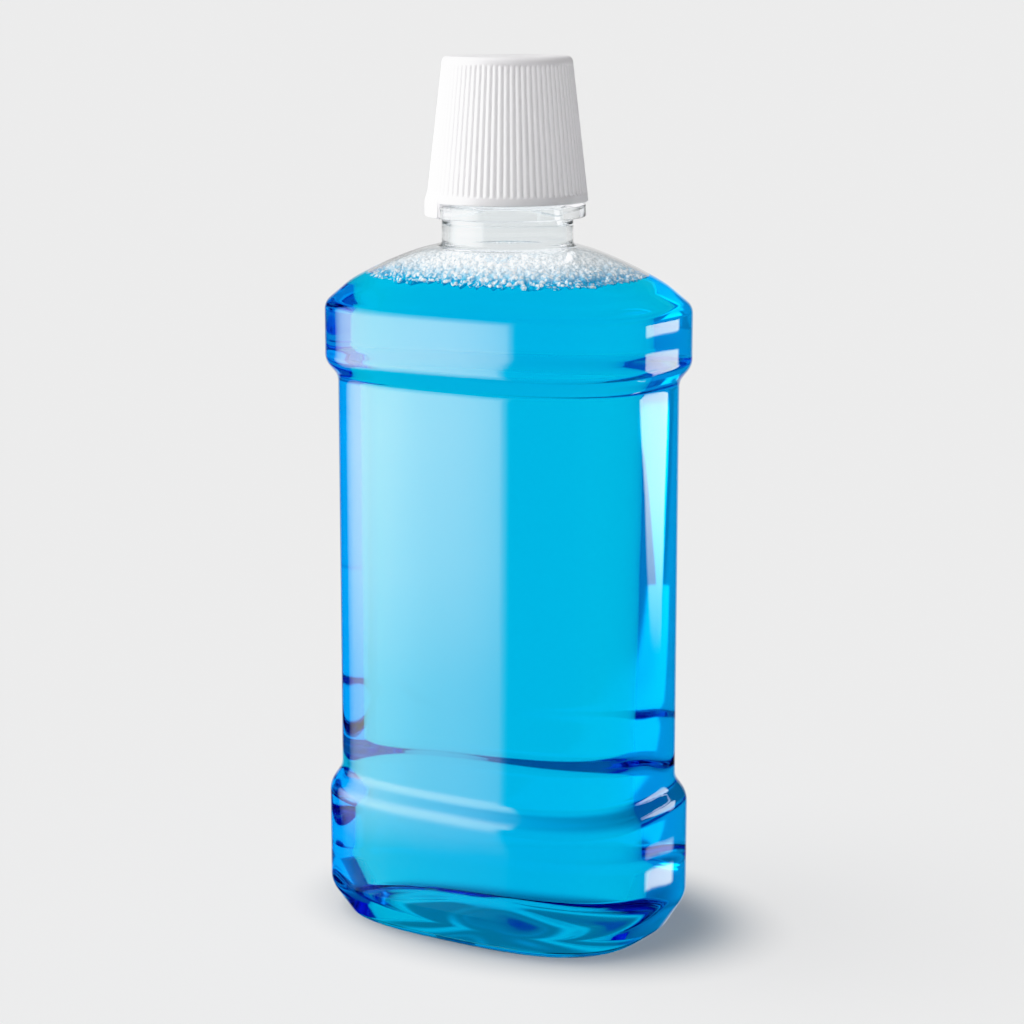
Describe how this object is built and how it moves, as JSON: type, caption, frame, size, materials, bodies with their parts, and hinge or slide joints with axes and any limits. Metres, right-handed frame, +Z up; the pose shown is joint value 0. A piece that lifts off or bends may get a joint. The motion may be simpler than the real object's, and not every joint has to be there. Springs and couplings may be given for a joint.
{
  "type": "mouthwash bottle",
  "caption": "Oblong clear bottle of mouthwash with a recessed panel between two bands, and a tapered ribbed screw cap that locks with two tabs and doubles as a dosing cup.",
  "frame": {"origin": "middle of the face that the bottle stands on", "axes": "+Z up along the bottle and its neck, X across the broad faces, which look along -Y and +Y"},
  "size_m": [0.082, 0.059, 0.198],
  "materials": {
    "clear_pet": "clear blow-moulded PET, glossy",
    "mouthwash": "clear blue liquid",
    "froth": "white bubbles",
    "cap_white": "white polypropylene, satin, moulded with ribs",
    "cup_white": "white polypropylene, smooth",
    "seal_foam": "soft foamed polyethylene"
  },
  "bodies": {
    "filled_bottle": {"bottle": "clear_pet", "mouthwash": "mouthwash", "froth": "froth"},
    "seal": {"seal_ring": "seal_foam"},
    "cap": {"cap_shell": "cap_white", "cap_cup": "cup_white"}
  },
  "joints": [
    {"name": "cap_rise", "type": "slide", "parent": "filled_bottle", "child": "seal", "axis": [0, 0, 1], "range_m": [0, 0.00635]},
    {"name": "cap_turn", "type": "hinge", "parent": "seal", "child": "cap", "pos_m": [0, 0, 0.166], "axis": [0, 0, 1], "range_deg": [0, 540]}
  ],
  "couplings": [
    {"joint": "cap_rise", "follows": "cap_turn", "m_per_rad": 0.00067323}
  ]
}
